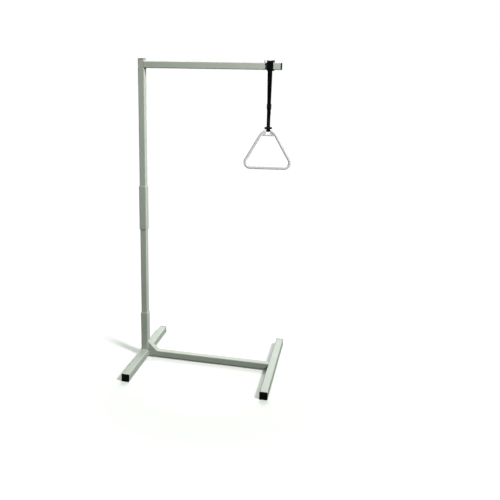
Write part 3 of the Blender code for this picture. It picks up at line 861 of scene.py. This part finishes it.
def threadRings(radius, start, end, centre, settings=screwSettings):
    # a helix: the radius at each angle follows a rounded V that moves one pitch in a turn
    angles = np.linspace(0, 2 * pi, settings["turnSteps"], endpoint=False)
    along = np.linspace(start, end, int((end - start) / settings["pitch"] * 10) + 2)
    phase = along[:, None] / settings["pitch"] - angles[None] / (2 * pi)
    fade = np.clip(np.minimum(along - start, end - along) / settings["pitch"], 0, 1)[:, None]
    depth = settings["depth"] * fade * np.abs(2 * (phase % 1) - 1)
    ring = (radius - depth)[..., None] * np.stack([np.cos(angles), np.sin(angles)], -1)
    return onAxis(ring, along[:, None] + 0 * angles, 1, centre)


def makeScrews(settings=screwSettings):
    for nut, screw, body in (
        ("socket_weld_nut", "socket_clamp_screw", "base"),
        ("sleeve_lower_nut", "sleeve_lower_screw", "lower_mast"),
        ("sleeve_upper_nut", "sleeve_upper_screw", "lower_mast"),
    ):
        low, high = corners(screw)
        nutLow, nutHigh = corners(nut)
        centre = (low + high) / 2
        size = (nutHigh[0] - nutLow[0]) / 2
        across = centre * (1, 0, 1)
        headStart = high[1] - settings["head"]
        shank = threadRings(settings["radius"], low[1], headStart + 0.001, centre)
        head = hexRings(size, headStart, high[1], True, True, centre, 1)
        face = [(size * 0.84, -0.0004), (size * 0.86, 0.0), (size * 0.8, 0.0002)]
        washer = turnedRings(face, 1, across + (0, headStart, 0))
        shapes = [patch(r, capFirst=True, capLast=True) for r in (shank, head, washer)]
        finishPiece(camel(screw), shapes, zincPlate, body, [screw], sharp=30)
        outside = hexRings(size, nutLow[1], nutHigh[1], False, True, centre, 1)
        inner, mouth, chamfer = [settings[k] for k in ("bore", "boreMouth", "boreChamfer")]
        first, last = nutLow[1], nutHigh[1]
        bore = [(mouth, last), (inner, last - chamfer), (inner, first + chamfer), (mouth, first)]
        bore = turnedRings(bore, 1, across, steps=settings["turnSteps"])
        shape = patch(np.concatenate([outside, bore]), loop=True)
        finishPiece(camel(nut), [shape], zincPlate, body, [nut], sharp=30)


makePegs()
makeScrews()
print("pegs and screws made")


saddleSettings = {
    "inside": (0.0193, 0.0193, 0.003),  # half width, height over the arm's centre, corner radius
    "floor": (0.0225, 0.0280, 0.006),
    "rim": (0.0250, 0.0320, 0.0075),
    "bottom": 0.0245,
    "channel": 0.0212,
    "soften": 0.0011,
}


def archPath(half, top, radius, bottom, steps=10, sideSteps=8):
    # up one side, round two quarter circles and down the other, in the YZ plane from the arm's centre
    rise = np.linspace(-bottom, top - radius, sideSteps, endpoint=False)
    over = np.linspace(-half + radius, half - radius, sideSteps + 1)[1:-1]
    left = np.linspace(pi, pi / 2, steps + 1)
    right = np.linspace(pi / 2, 0, steps + 1)
    turns = [(-1, left), (1, right)]
    bends = [
        np.stack([side * (half - radius) + radius * np.cos(t), top - radius + radius * np.sin(t)], -1)
        for side, t in turns
    ]
    return np.concatenate([
        np.stack([0 * rise - half, rise], -1), bends[0], np.stack([over, 0 * over + top], -1), bends[1],
        np.stack([0 * rise + half, rise], -1)[::-1],
    ])


def makeSaddle(settings):
    # every point is a place on the arch, one across the saddle, and a level between inside, floor and rim
    low, high = corners("strap_saddle")
    armZ = middle("arm_tube")[2]
    arches = [archPath(*settings[k], settings["bottom"]) for k in ("inside", "floor", "rim")]
    halfWidth, centreX = (high[0] - low[0]) / 2, (high[0] + low[0]) / 2
    cut = [strapX - centreX - settings["channel"] / 2, strapX - centreX + settings["channel"] / 2]
    soft = settings["soften"]
    turn = np.linspace(0, pi / 2, 5)
    outerRight = [(halfWidth - soft + soft * cos(t), 2 - 0.35 * (1 - sin(t))) for t in turn]
    channelRight = [(cut[1] + soft * 0.6 * (1 - sin(t)), 2 - 0.25 * (1 - cos(t))) for t in turn]
    channelLeft = [(cut[0] - soft * 0.6 * (1 - cos(t)), 2 - 0.25 * (1 - sin(t))) for t in turn]
    outerLeft = [(-halfWidth + soft - soft * sin(t), 2 - 0.35 * (1 - cos(t))) for t in turn]
    columns = [
        (halfWidth - soft * 0.5, 0), (halfWidth, 0.25), *outerRight, *channelRight,
        (cut[1], 1.15), (cut[1] - soft * 0.4, 1), (cut[0] + soft * 0.4, 1), (cut[0], 1.15),
        *channelLeft, *outerLeft, (-halfWidth, 0.25), (-halfWidth + soft * 0.5, 0),
    ]
    across, level = np.array(columns).T
    lower = np.clip(np.floor(level).astype(int), 0, 1)
    share = (level - lower)[None, :, None]
    stack = np.stack(arches)
    yz = stack[lower].transpose(1, 0, 2) * (1 - share) + stack[lower + 1].transpose(1, 0, 2) * share
    # the feet are rounded in over their last millimetres
    run = np.linspace(0, 1, len(yz))
    foot = np.clip(np.minimum(run, 1 - run) / 0.035, 0, 1)
    pinch = (1 - np.sqrt(np.clip(1 - (1 - foot) ** 2, 0, 1)))[:, None]
    halfway = (stack[0][:, 0] + stack[2][:, 0])[:, None] / 2
    y = yz[..., 0] + (halfway - yz[..., 0]) * pinch * 0.45
    points = np.stack([np.broadcast_to(across + centreX, y.shape), y, yz[..., 1] + armZ], -1)
    edge = np.where((level > 1.6) & (np.abs(across) > halfWidth - soft), 1.0, 0.0)[None]
    shape = patch(points, capFirst=True, capLast=True, edge=edge)
    finishPiece("strapSaddle", [shape], blackPlastic, "strap_head", ["strap_saddle"])


makeSaddle(saddleSettings)
print("saddle made")


webbingSettings = {
    "width": 0.020,
    "thick": 0.0016,
    "ringSteps": 14,
    "spacing": 0.0012,
    "joinHalf": 0.00097,  # from the middle to each layer's own middle, where the two layers lie together
    "legHalf": 0.0061,  # and where they part, at the slide bar
    "overlap": 0.023,
    "seamInset": 0.0022,  # how far the seams stay from the selvedge
    "stitch": 0.0022,
    "thread": 0.00032,
    "stitchRows": (0.003, 0.0048, 0.0066, 0.016, 0.0178, 0.0196),  # above the place where the layers meet
    "twistDrop": 0.011,  # how far under the tail the twist starts, clear of it when the strap is shortened
}


def smoothStep(value, low, high):
    share = np.clip((value - low) / (high - low), 0, 1)
    return share * share * (3 - 2 * share)


def evenly(path, spacing):
    # the same line with points evenly spaced along it
    path = np.asarray(path, float)
    run = np.append(0, np.cumsum(np.linalg.norm(np.diff(path, axis=0), axis=1)))
    at = np.linspace(0, run[-1], int(run[-1] / spacing) + 2)
    return np.stack([np.interp(at, run, path[:, k]) for k in range(path.shape[1])], -1)


def softened(path, spacing, rounds):
    # even spacing, then each point moves towards the mean of its neighbours, which rounds the corners
    path = evenly(path, spacing)
    for _ in range(rounds):
        path[1:-1] = path[1:-1] * 0.5 + (path[:-2] + path[2:]) * 0.25
    return evenly(path, spacing)


def ribbon(path, settings=webbingSettings):
    # a flat band with round selvedges carried along a line in the YZ plane, its width along X
    heading = np.gradient(path, axis=0)
    heading /= np.linalg.norm(heading, axis=1)[:, None]
    aside = np.stack([-heading[:, 1], heading[:, 0]], -1)
    steps = settings["ringSteps"]
    half, thick = settings["width"] / 2, settings["thick"] / 2
    bend = np.linspace(-pi / 2, pi / 2, 5)
    right = np.stack([half - thick + thick * np.cos(bend), thick * np.sin(bend)], -1)
    flat = np.linspace(half - thick, -half + thick, steps)[1:-1]
    ridge = thick * (1 + 0.05 * np.cos(flat / settings["width"] * 2 * pi * 5))
    over = np.stack([flat, ridge], -1)
    left = -right
    under = np.stack([flat[::-1], -ridge[::-1]], -1)
    profile = np.concatenate([right, over, left, under])
    yz = path[:, None] + aside[:, None] * profile[None, :, 1:]
    x = np.broadcast_to(profile[:, 0], yz.shape[:2]) + strapX
    return np.concatenate([x[..., None], yz], -1)


def turnedAbout(points, angle):
    # turned about the strap's own upright line, by an angle that may differ from point to point
    x, y = points[..., 0] - strapX, points[..., 1]
    c, s = np.cos(angle), np.sin(angle)
    return np.stack([strapX + x * c - y * s, x * s + y * c, points[..., 2]], -1)


def stitches(seams, face, settings=webbingSettings):
    # each seam is a line of short threads on the webbing's face, each a capsule sunk a little at its ends
    shapes = []
    angles = np.linspace(0, 2 * pi, 8, endpoint=False)
    run = np.linspace(-1, 1, 7)
    for start, end in seams:
        start, end = np.array(start), np.array(end)
        length = np.linalg.norm(end - start)
        count = max(int(length / settings["stitch"]), 1)
        ahead = (end - start) / length
        aside = np.array([-ahead[1], ahead[0]])
        for k in range(count):
            middleAt = start + ahead * length * (k + 0.5) / count
            along = run * settings["stitch"] * 0.42
            radius = settings["thread"] * np.sqrt(1.001 - run**2)
            wide = (radius[:, None] * np.cos(angles))[..., None] * aside
            flat = middleAt + along[:, None, None] * ahead + wide
            lift = radius[:, None] * np.sin(angles) + (0.0001 - 0.0003 * run**2)[:, None]
            y = face + np.sign(face) * lift
            points = np.stack([flat[..., 0] + strapX, y, flat[..., 1]], -1)
            points = turnedAbout(points, strapTurn(points[..., 2]))
            shapes.append(patch(points, capFirst=True, capLast=True))
    return shapes


twistTop = corners("strap_tail")[0][2] - webbingSettings["twistDrop"]


def strapTurn(z):
    # none above the twist's start, all of the handle's turn at the slide bar
    barTop = corners("slide_bar")[1][2]
    return handleTurn * smoothStep(-z, -twistTop, -barTop)


def makeStrapLoop(settings=webbingSettings):
    # from the tail's end up through the buckle, up the rear, over the saddle and down the front
    armZ = middle("arm_tube")[2]
    by, bz = middle("strap_buckle")[1:]
    tailLow = corners("strap_tail")[0][2]
    wrapHigh = corners("webbing_over_arm")[1]
    wrapHalf = wrapHigh[1] - settings["thick"] / 2
    wrapTop = wrapHigh[2] - armZ - settings["thick"] / 2
    threaded = [  # Y and Z of the way through the buckle's two slots, round its middle bar
        (by + 0.0064, tailLow), (by + 0.0052, tailLow + 0.014),
        (by + 0.0040, bz - 0.022), (by + 0.0036, bz - 0.013), (by + 0.0034, bz - 0.0095),
        (by - 0.0006, bz - 0.0058), (by - 0.0014, bz - 0.003),
        (by - 0.0014, bz + 0.003), (by - 0.0006, bz + 0.0058),
        (by + 0.0022, bz + 0.0095), (by + 0.0026, bz + 0.014), (by + 0.0016, bz + 0.020),
    ]
    over = archPath(wrapHalf, wrapTop, 0.0066, saddleSettings["bottom"])[::-1] + (0, armZ)
    overlap = corners("lower_webbing")[1][2] - settings["overlap"]
    lies = -(settings["joinHalf"] + settings["thick"] + 0.0001)
    sewnDown = [(lies - 0.0004, overlap + 0.028), (lies, overlap + 0.018), (lies, overlap)]
    path = softened(np.concatenate([threaded, over, sewnDown]), settings["spacing"], 6)
    shape = patch(ribbon(path), capFirst=True, capLast=True)
    replaced = ["webbing_over_arm", "front_strand", "rear_strand", "strap_tail"]
    loop = finishPiece("strapLoop", [shape], blackWebbing, None, replaced, sharp=60)
    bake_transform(loop)
    # sewn down over the lower webbing: a box and a cross
    face = lies - settings["thick"] / 2
    low, high = overlap + settings["seamInset"], overlap + 0.0195
    side = settings["width"] / 2 - settings["seamInset"]
    box = [(-side, low), (side, low), (side, high), (-side, high)]
    seams = list(zip(box, box[1:] + box[:1])) + [(box[0], box[2]), (box[1], box[3])]
    threads = stitches(seams, face)
    finishPiece("strapStitches", threads, sewingThread, "upper_strap", sharp=80)


def handleLoopPath():
    # down the front, under the handle's bar and up the rear, the two layers meeting above the slide bar
    top = corners("lower_webbing")[1][2] + 0.002
    join = corners("webbing_loop")[1][2]
    barTop = corners("slide_bar")[1][2] + 0.001
    z = np.linspace(top, eyeZ, 160)
    spread = smoothStep(-z, -join, -barTop)
    near, far = webbingSettings["joinHalf"], webbingSettings["legHalf"]
    y = near + (far - near) * spread
    turn = np.linspace(pi, 2 * pi, 25)
    under = np.stack([far * np.cos(turn), eyeZ + far * np.sin(turn)], -1)
    return np.concatenate([np.stack([-y, z], -1)[:-1], under, np.stack([y, z], -1)[::-1][1:]])


def makeHandleLoop(settings=webbingSettings):
    points = ribbon(evenly(handleLoopPath(), settings["spacing"]))
    points = turnedAbout(points, strapTurn(points[..., 2]))
    shape = patch(points, capFirst=True, capLast=True)
    replaced = ["lower_webbing", "webbing_loop"]
    loop = finishPiece("handleStrap", [shape], blackWebbing, None, replaced, sharp=60)
    # rows of stitches across, where the two layers come together, on both faces
    side, join = settings["width"] / 2 - settings["seamInset"], corners("webbing_loop")[1][2]
    rows = [((-side, join + k), (side, join + k)) for k in settings["stitchRows"]]
    face = settings["joinHalf"] + settings["thick"] / 2
    threads = stitches(rows, -face) + stitches(rows, face)
    sewn = finishPiece("handleStrapStitches", threads, sewingThread, None, sharp=80)
    for piece in (loop, sewn):
        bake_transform(piece)


makeStrapLoop()
makeHandleLoop()
print("webbing made")


def carved(name, shape, holes, soften):
    # cuts the holes through the block and rounds every edge that is left sharp
    block = bpy.data.objects.new(name + "Block", meshFrom(name, [shape]))
    scene.collection.objects.link(block)
    tools = []
    for i, hole in enumerate(holes):
        tool = bpy.data.objects.new(f"{name}Hole{i}", meshFrom(f"{name}Hole{i}", [hole]))
        scene.collection.objects.link(tool)
        cut = block.modifiers.new(f"hole{i}", "BOOLEAN")
        cut.operation, cut.object = "DIFFERENCE", tool
        tools.append(tool)
    bevel = block.modifiers.new("soften", "BEVEL")
    bevel.width, bevel.segments, bevel.angle_limit = soften, 3, radians(40)
    mesh = bpy.data.meshes.new_from_object(block.evaluated_get(bpy.context.evaluated_depsgraph_get()))
    for thing in [block, *tools]:
        bpy.data.objects.remove(thing)
    return mesh


def rodAlongX(length, halfY, halfZ, power, steps=40):
    # a bar with a rounded section, whose radius closes in to round ends
    run = np.linspace(-1, 1, 29)
    run = np.sign(run) * (1 - (1 - np.abs(run)) ** 2)
    close = np.clip(1 - np.abs(run) ** 10, 0.0009, 1) ** 0.5
    angles = np.linspace(0, 2 * pi, steps, endpoint=False)
    y = np.sign(np.cos(angles)) * np.abs(np.cos(angles)) ** (2 / power) * halfY
    z = np.sign(np.sin(angles)) * np.abs(np.sin(angles)) ** (2 / power) * halfZ
    x = np.broadcast_to((run * length / 2)[:, None], (len(run), steps))
    return np.stack([x, close[:, None] * y, close[:, None] * z], -1)


buckleSettings = {
    "corner": 0.0035,
    "fill": 0.92,  # its thickness, as a share of the room it has
    "slotRoom": 0.0012,  # how much wider than the webbing its slots are
    "slotHigh": 0.0075,
    "slotOffset": 0.0065,
    "reliefHigh": 0.0095,
    "reliefDeep": 0.0023,
    "soften": 0.0004,
    "edges": ((-1, 0.0012), (-0.93, 0.0004), (-0.75, 0), (0.75, 0), (0.93, 0.0004), (1, 0.0012)),
}
slideBarSettings = {
    "length": 0.044,
    "depth": 0.020,
    "power": 3.4,
    "slotDeep": 0.0025,
    "slotCorner": 0.0009,
    "soften": 0.00045,
}


def makeBuckle(settings):
    # a rounded plate with two slots, and a hollow on the front face that leaves its middle bar thin
    low, high = corners("strap_buckle")
    centre, size = (low + high) / 2, high - low
    outline = roundedSquare(size[0], settings["corner"], 8, size[2])
    rings = []
    for share, inset in settings["edges"]:
        flat = outline * (1 - 2 * inset / np.array([size[0], size[2]]))
        rings.append(onAxis(flat, centre[1] + share * size[1] * settings["fill"] / 2, 1, centre))
    slotWidth = webbingSettings["width"] + settings["slotRoom"]
    holes = []
    for side in (-1, 1):
        slot = roundedSquare(slotWidth, 0.001, 4, settings["slotHigh"]) + (0, side * settings["slotOffset"])
        through = [onAxis(slot, centre[1] + k * 0.01, 1, centre) for k in (-1, 1)]
        holes.append(patch(through, capFirst=True, capLast=True))
    relief = roundedSquare(slotWidth, 0.001, 4, settings["reliefHigh"])
    depths = (low[1] - 0.002, low[1] + settings["reliefDeep"])
    holes.append(patch([onAxis(relief, y, 1, centre) for y in depths], capFirst=True, capLast=True))
    mesh = carved("strapBuckle", patch(rings, capFirst=True, capLast=True), holes, settings["soften"])
    finishPiece("strapBuckle", mesh, blackPlastic, "upper_strap", ["strap_buckle"])


def makeSlideBar(settings):
    # a rounded bar with two slots, which the webbing's legs go through
    low, high = corners("slide_bar")
    height = high[2] - low[2]
    block = rodAlongX(settings["length"], settings["depth"] / 2, height / 2, settings["power"])
    slotWidth = webbingSettings["width"] + buckleSettings["slotRoom"]
    holes = []
    for side in (-1, 1):
        slot = roundedSquare(slotWidth, settings["slotCorner"], 4, settings["slotDeep"])
        slot = slot + (0, side * webbingSettings["legHalf"])
        through = [onAxis(slot, z, 2, np.zeros(3)) for z in (-0.02, 0.02)]
        holes.append(patch(through, capFirst=True, capLast=True))
    mesh = carved("slideBar", patch(block, capFirst=True, capLast=True), holes, settings["soften"])
    place = Matrix.Translation((strapX, 0, middle("slide_bar")[2]))
    mesh.transform(place @ Matrix.Rotation(handleTurn, 4, "Z"))
    finishPiece("slideBar", mesh, blackPlastic, "handle_loop", ["slide_bar"])


makeBuckle(buckleSettings)
makeSlideBar(slideBarSettings)
print("buckle and slide bar made")


handleSettings = {
    "width": 0.268,
    "bottom": corners("triangle_handle")[0][2],
    "corner": 0.039,
    "apex": 0.055,
    "limb": 0.015,
    "gripBar": 0.017,
    "half": 0.008,  # half its thickness
    "gripPitch": 0.0165,
    "gripWaves": 11,
    "gripDepth": 0.0018,
    "notch": 0.0135,
    "eyeRadius": 0.0049,
    "web": 0.0373,
    "notchDepth": 0.026,
    "webHalf": 0.0062,
    "power": 3.8,
    "ringSteps": 40,
    "seam": 0.018,  # the mould's parting line: its height as a share of the limb, and its width in radians
    "seamWidth": 0.09,
    "webFillet": 0.008,
    "webSoft": 0.003,
}


def triangleLine(settings):
    # the middle of the limb and the way out of it, all round: quarter points by arcs, straight runs between
    half = settings["limb"] / 2
    lean = radians(30)
    lower = np.array([settings["width"] / 2 - settings["corner"], settings["corner"]])
    foot = lower + settings["corner"] * np.array([cos(lean), sin(lean)])
    rise = (foot[0] - cos(lean) * settings["apex"]) * sqrt(3)
    top = foot[1] + rise + (1 - sin(lean)) * settings["apex"]
    apex = np.array([0, top - settings["apex"]])

    def around(centre, radius, start, end, count):
        angle = np.linspace(start, end, count)
        out = np.stack([np.cos(angle), np.sin(angle)], -1)
        return centre + (radius - half) * out, out

    def between(first, second, out, count):
        share = np.linspace(0, 1, count + 2)[1:-1, None]
        return first + (second - first) * share, np.broadcast_to(out, (count, 2))

    mirror = np.array([-1, 1])
    corner = around(lower, settings["corner"], -pi / 2, lean, 26)
    crown = around(apex, settings["apex"], lean, pi / 2, 60)
    side = between(corner[0][-1], crown[0][0], corner[1][-1], 24)
    bottomEnd = corner[0][0]
    right = [np.concatenate([a, b, c]) for a, b, c in zip(corner, side, crown)]
    left = [(part * mirror)[::-1][1:] for part in right]
    floor = between(bottomEnd * mirror, bottomEnd, np.array([0.0, -1.0]), 231)
    return [np.concatenate([a, b, c]) for a, b, c in zip(right, left, floor)], top


def makeHandle(settings):
    # a triangular ring: a rounded section carried round the line above, its size changing as it goes
    (line, out), top = triangleLine(settings)
    x, z = line.T
    limb = settings["limb"] / 2
    onFloor = smoothStep(-out[:, 1], 0.55, 1.0)
    pitch, waves = settings["gripPitch"], settings["gripWaves"]
    wave = (1 + np.cos(2 * pi * x / pitch + pi * (waves % 2 == 0))) / 2
    wave *= smoothStep(-np.abs(x), -pitch * waves / 2, -pitch * (waves / 2 - 0.6))
    inward = limb + onFloor * (settings["gripBar"] - settings["limb"] + settings["gripDepth"] * wave)
    inward = np.where(z > 0.1, limb, inward)
    atEye = smoothStep(-np.abs(x), -settings["notch"] - 0.0012, -settings["notch"] + 0.0002) * (z > 0.15)
    eyeHeight = eyeZ - settings["bottom"]
    z = z + (eyeHeight - z) * atEye
    out = out * (1 - atEye[:, None]) + np.array([0, 1.0]) * atEye[:, None]
    out /= np.linalg.norm(out, axis=1)[:, None]
    outer = limb * (1 - atEye) + settings["eyeRadius"] * atEye
    inward = inward * (1 - atEye) + settings["eyeRadius"] * atEye
    thick = settings["half"] * (1 - atEye) + settings["eyeRadius"] * atEye
    power = settings["power"] * (1 - atEye) + 2 * atEye
    angle = np.linspace(0, 2 * pi, settings["ringSteps"], endpoint=False)
    c, s = np.cos(angle)[None], np.sin(angle)[None]
    fromSeam = np.minimum(angle, 2 * pi - angle) / settings["seamWidth"]
    seam = 1 + settings["seam"] * np.exp(-(fromSeam**2))[None]
    reach = np.where(c > 0, outer[:, None] * seam, inward[:, None])
    reach = reach * np.sign(c) * np.abs(c) ** (2 / power[:, None])
    depth = thick[:, None] * np.sign(s) * np.abs(s) ** (2 / power[:, None])
    flat = np.stack([x, z], -1)[:, None] + out[:, None] * reach[..., None]
    points = np.stack([flat[..., 0] + strapX, depth, flat[..., 1] + settings["bottom"]], -1)
    shapes = [patch(turnedAbout(points, handleTurn), loop=True), handleWeb(settings, top)]
    replaced = ["triangle_handle"]
    finishPiece("triangleHandle", shapes, whitePlastic, "handle", replaced, sharp=50)


def handleWeb(settings, top):
    # a plate between the limbs under the apex: columns across, each from its lower edge to its upper edge
    lean = radians(30)
    lower = np.array([settings["width"] / 2 - settings["corner"], settings["corner"]])
    innerFoot = lower + (settings["corner"] - settings["limb"] / 2) * np.array([cos(lean), sin(lean)])

    def limbX(height):
        return innerFoot[0] - (height - innerFoot[1]) / sqrt(3)

    low = top - settings["web"]
    notchFloor = top - settings["notchDepth"]
    edge = settings["notch"]
    wall = np.array([-1, 1]) * 0.0006 + edge
    reach = limbX(low) - 0.001
    runs = ((0, wall[0], 14), (wall[0], wall[1], 6), (wall[1], reach, 22))
    half = np.concatenate([np.zeros(1)] + [np.linspace(*run)[1:] for run in runs])
    x = np.concatenate([-half[:0:-1], half])
    apexRadius = settings["apex"] - settings["limb"] / 2
    apexLine = top - settings["apex"] + np.sqrt(np.clip(apexRadius**2 - x**2, 0, None))
    limbLine = innerFoot[1] + (innerFoot[0] - np.abs(x)) * sqrt(3)
    outer = np.minimum(apexLine, limbLine)
    raised = smoothStep(np.abs(x), wall[0], wall[1])
    upper = notchFloor * (1 - raised) + outer * raised
    fillet, soft = settings["webFillet"], settings["webSoft"]
    base = low - fillet * smoothStep(np.abs(x), reach - 1.3 * fillet, reach + 0.2 * fillet) ** 1.5
    upper = np.maximum(upper, base + 0.0005)
    share = np.linspace(0, 1, 30)
    share = (1 - np.cos(share * pi)) / 2
    z = base[:, None] + (upper - base)[:, None] * share[None]
    fromLow = z - base[:, None]
    fromHigh = np.where(raised[:, None] < 0.5, upper[:, None] - z, 1.0)
    fromWall = np.where(z > notchFloor, np.abs(x)[:, None] - edge, 1.0)
    near = np.clip(np.minimum(np.minimum(fromLow, fromHigh), np.maximum(fromWall, 0)) / soft, 0, 1)
    thick = settings["webHalf"] - soft + soft * np.sqrt(np.clip(1 - (1 - near) ** 2, 0, 1))
    front = np.stack([np.broadcast_to(x[:, None], z.shape) + strapX, -thick, z + settings["bottom"]], -1)
    back = front * (1, -1, 1)
    loops = np.concatenate([front, back[:, ::-1]], 1)
    return patch(turnedAbout(loops, handleTurn), capFirst=True, capLast=True)


makeHandle(handleSettings)
print("handle made")


makeCamera(cameraSettings)
makeLights(lightSettings)
makeWorld(worldSettings)
makeFloor(floorSettings)
print("camera, lights and floor made")
